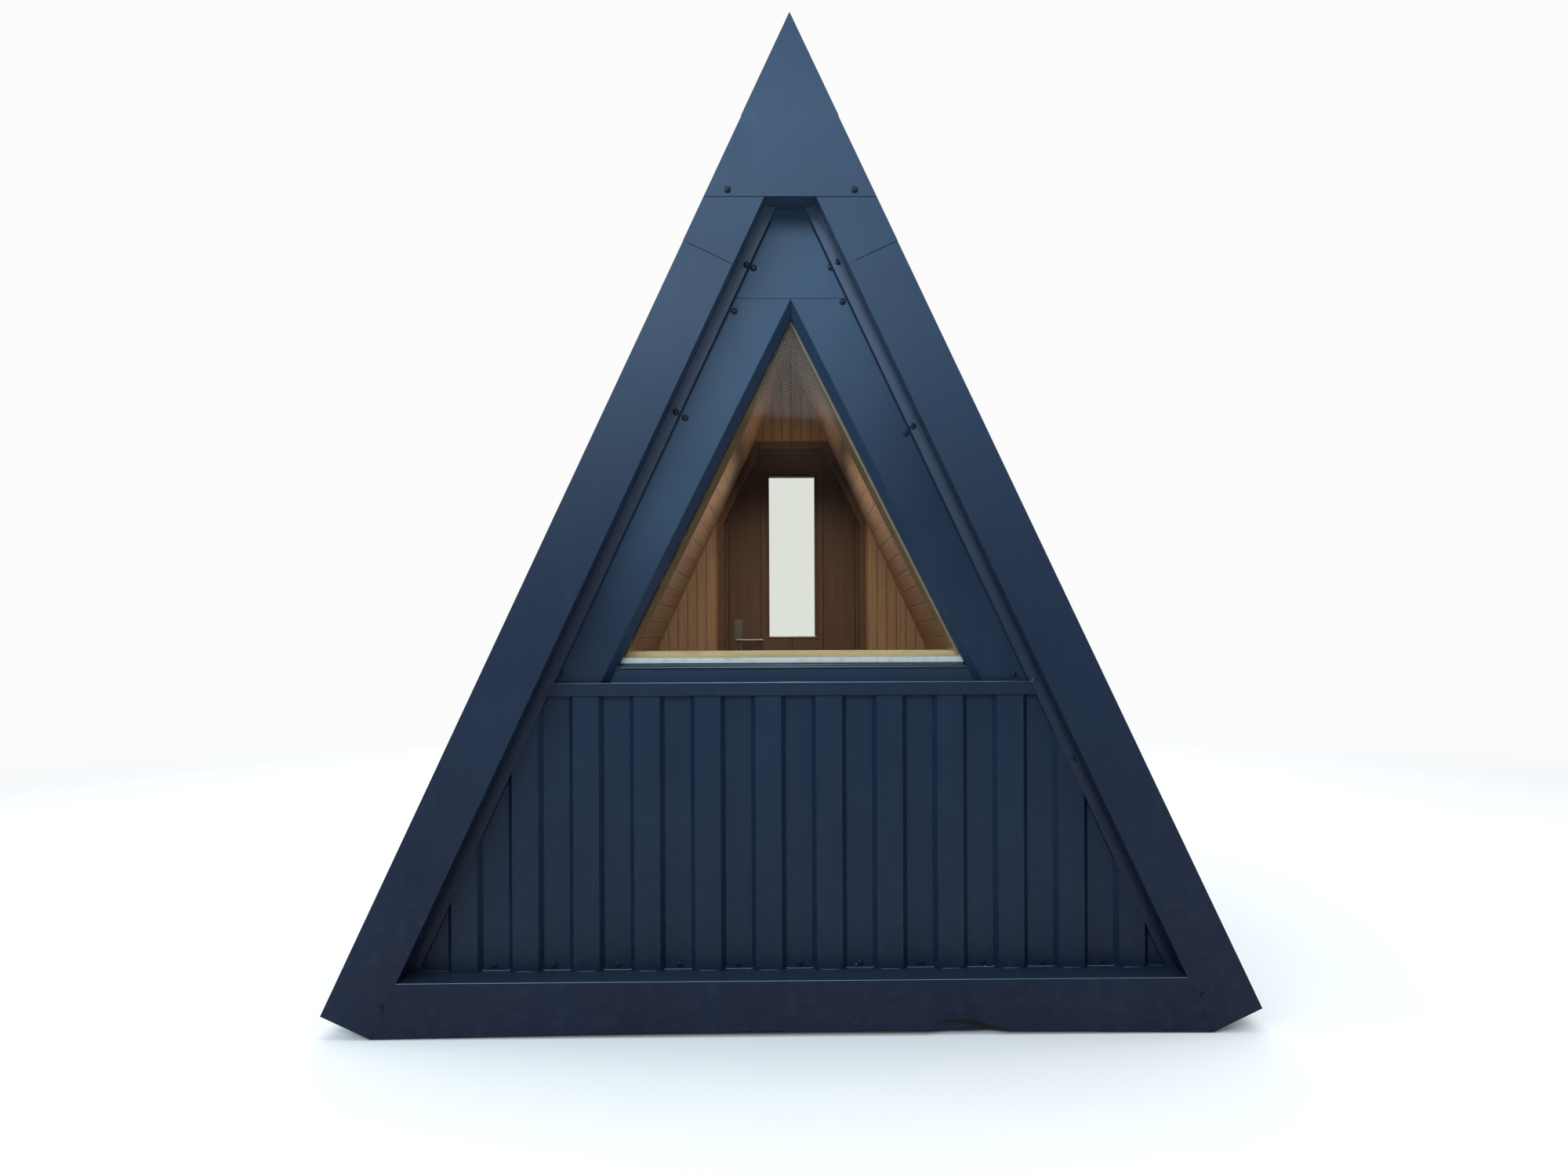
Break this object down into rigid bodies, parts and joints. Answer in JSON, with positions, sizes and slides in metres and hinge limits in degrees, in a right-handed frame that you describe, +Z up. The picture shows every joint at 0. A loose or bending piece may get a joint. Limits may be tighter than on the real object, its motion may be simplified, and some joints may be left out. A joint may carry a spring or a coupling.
{
  "type": "a-frame cabin",
  "caption": "Small A-frame cabin with steep ribbed metal slopes down to the ground, a fixed triangular gable window and a hinged glazed door at the other end.",
  "frame": {"origin": "middle of the footprint, on the ground", "axes": "+Z up, -Y out of the window gable, +Y out of the door gable, +X to the right as the window gable is looked at"},
  "size_m": [2.4042, 2.7036, 2.6153],
  "materials": {
    "navy_sheet": "satin navy paint on ribbed steel sheet",
    "navy_trim": "satin navy paint on folded steel trims",
    "pine": "planed softwood boards",
    "bearer": "sawn softwood",
    "deck": "plywood deck",
    "core": "insulated timber core",
    "brown_door": "dark brown stained timber",
    "door_metal": "brushed",
    "bead": "pale satin",
    "glass": "clear glazing unit"
  },
  "bodies": {
    "cabin": {"skids": "bearer", "floor_joists": "bearer", "floor_deck": "deck", "left_roof_panel": "core", "right_roof_panel": "core", "left_roof_sheet": "navy_sheet", "right_roof_sheet": "navy_sheet", "ridge_cap": "navy_trim", "left_roof_lining": "pine", "right_roof_lining": "pine", "eave_trims": "navy_trim", "rear_wall_lower": "core", "rear_wall_sill": "core", "rear_wall_left": "core", "rear_wall_right": "core", "rear_wall_top": "core", "rear_gable_lining": "pine", "rear_lower_cladding": "navy_sheet", "rear_window_plates": "navy_trim", "rear_top_plate": "navy_trim", "waist_flashing": "navy_trim", "rear_base_flashing": "navy_trim", "rear_left_barge": "navy_trim", "rear_right_barge": "navy_trim", "rear_apex_plate": "navy_trim", "window_reveal": "navy_trim", "window_apron": "navy_trim", "window_sill": "navy_trim", "window_bead": "bead", "window_glass": "glass", "window_lining": "pine", "window_frame": "pine", "front_wall_left": "core", "front_wall_right": "core", "front_wall_top": "core", "front_gable_lining": "pine", "front_cladding": "navy_sheet", "front_top_plate": "navy_trim", "front_base_flashing": "navy_trim", "front_barges": "navy_trim", "front_apex_plate": "navy_trim", "corner_trims": "navy_trim", "door_posts": "brown_door", "door_head": "brown_door", "door_threshold": "brown_door", "door_hinge_pins": "door_metal"},
    "door": {"door_leaf": "brown_door", "door_glass": "glass", "door_handle": "door_metal", "door_hinge_straps": "door_metal"}
  },
  "joints": [
    {"name": "door_swing", "type": "hinge", "parent": "cabin", "child": "door", "pos_m": [0.31125, 1.309, 0.9], "axis": [0, 0, -1], "range_deg": [0, 90]}
  ]
}
